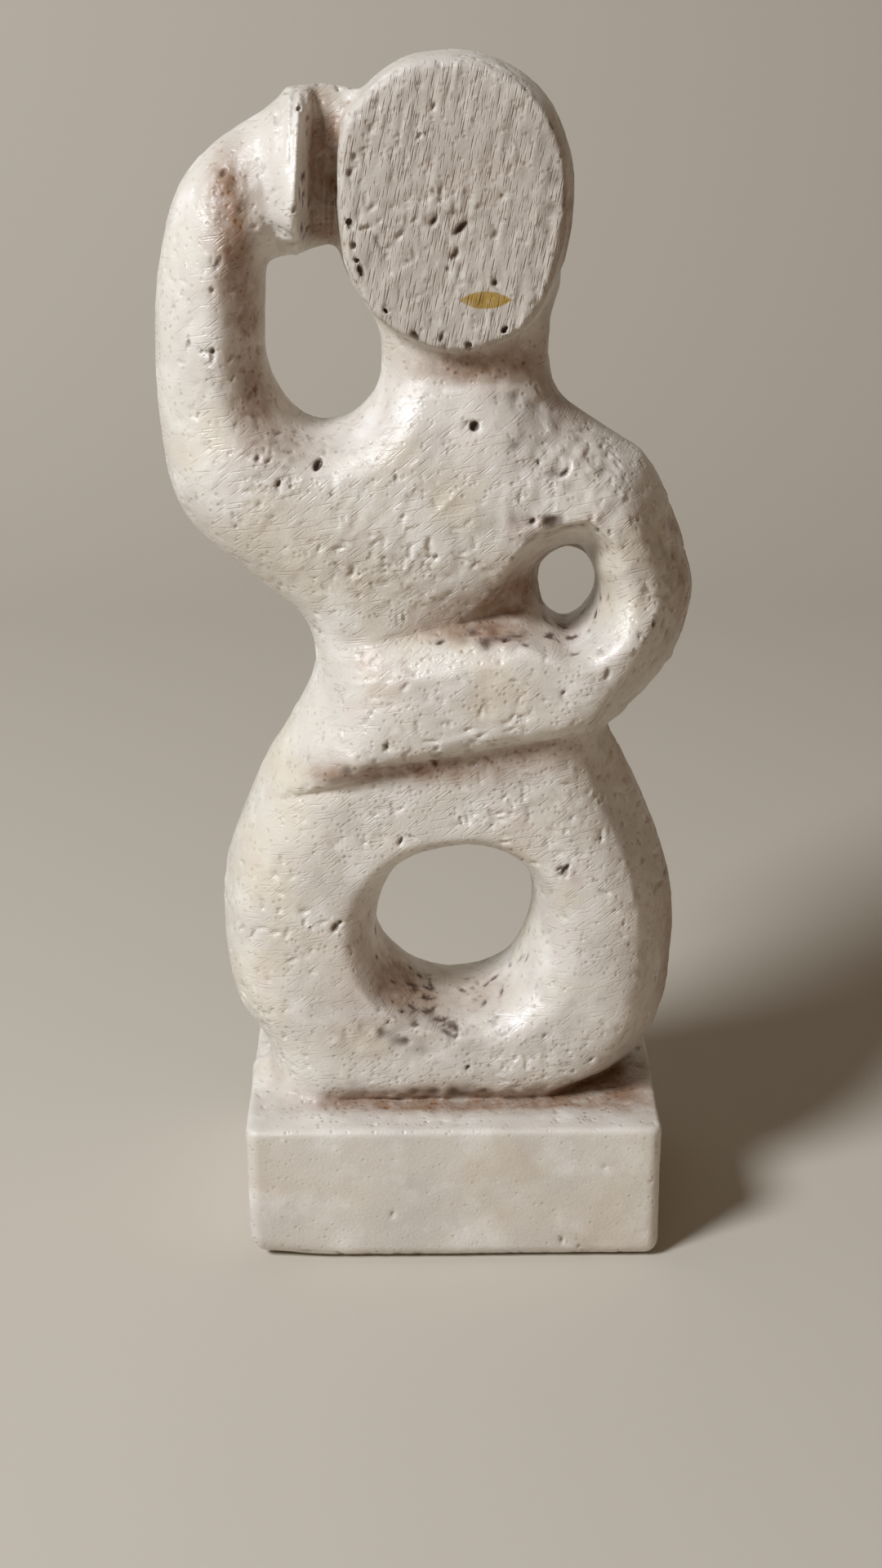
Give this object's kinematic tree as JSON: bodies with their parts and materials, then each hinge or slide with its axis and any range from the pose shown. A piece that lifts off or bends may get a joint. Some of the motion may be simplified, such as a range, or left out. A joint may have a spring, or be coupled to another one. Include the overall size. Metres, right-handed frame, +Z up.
{
  "type": "cycladic-style figurine",
  "caption": "Carved stone figurine with a blank flat face, one raised arm, a forearm across the waist and a ring-like lower body on a rectangular block.",
  "frame": {"origin": "centre of the block's flat underside", "axes": "+Z up along the figure, -Y out of its face, +X towards the arm akimbo"},
  "size_m": [0.087, 0.05, 0.2005],
  "materials": {
    "stone": "varnished porous stone, satin"
  },
  "bodies": {
    "root": {"figurine": "stone"}
  },
  "joints": []
}
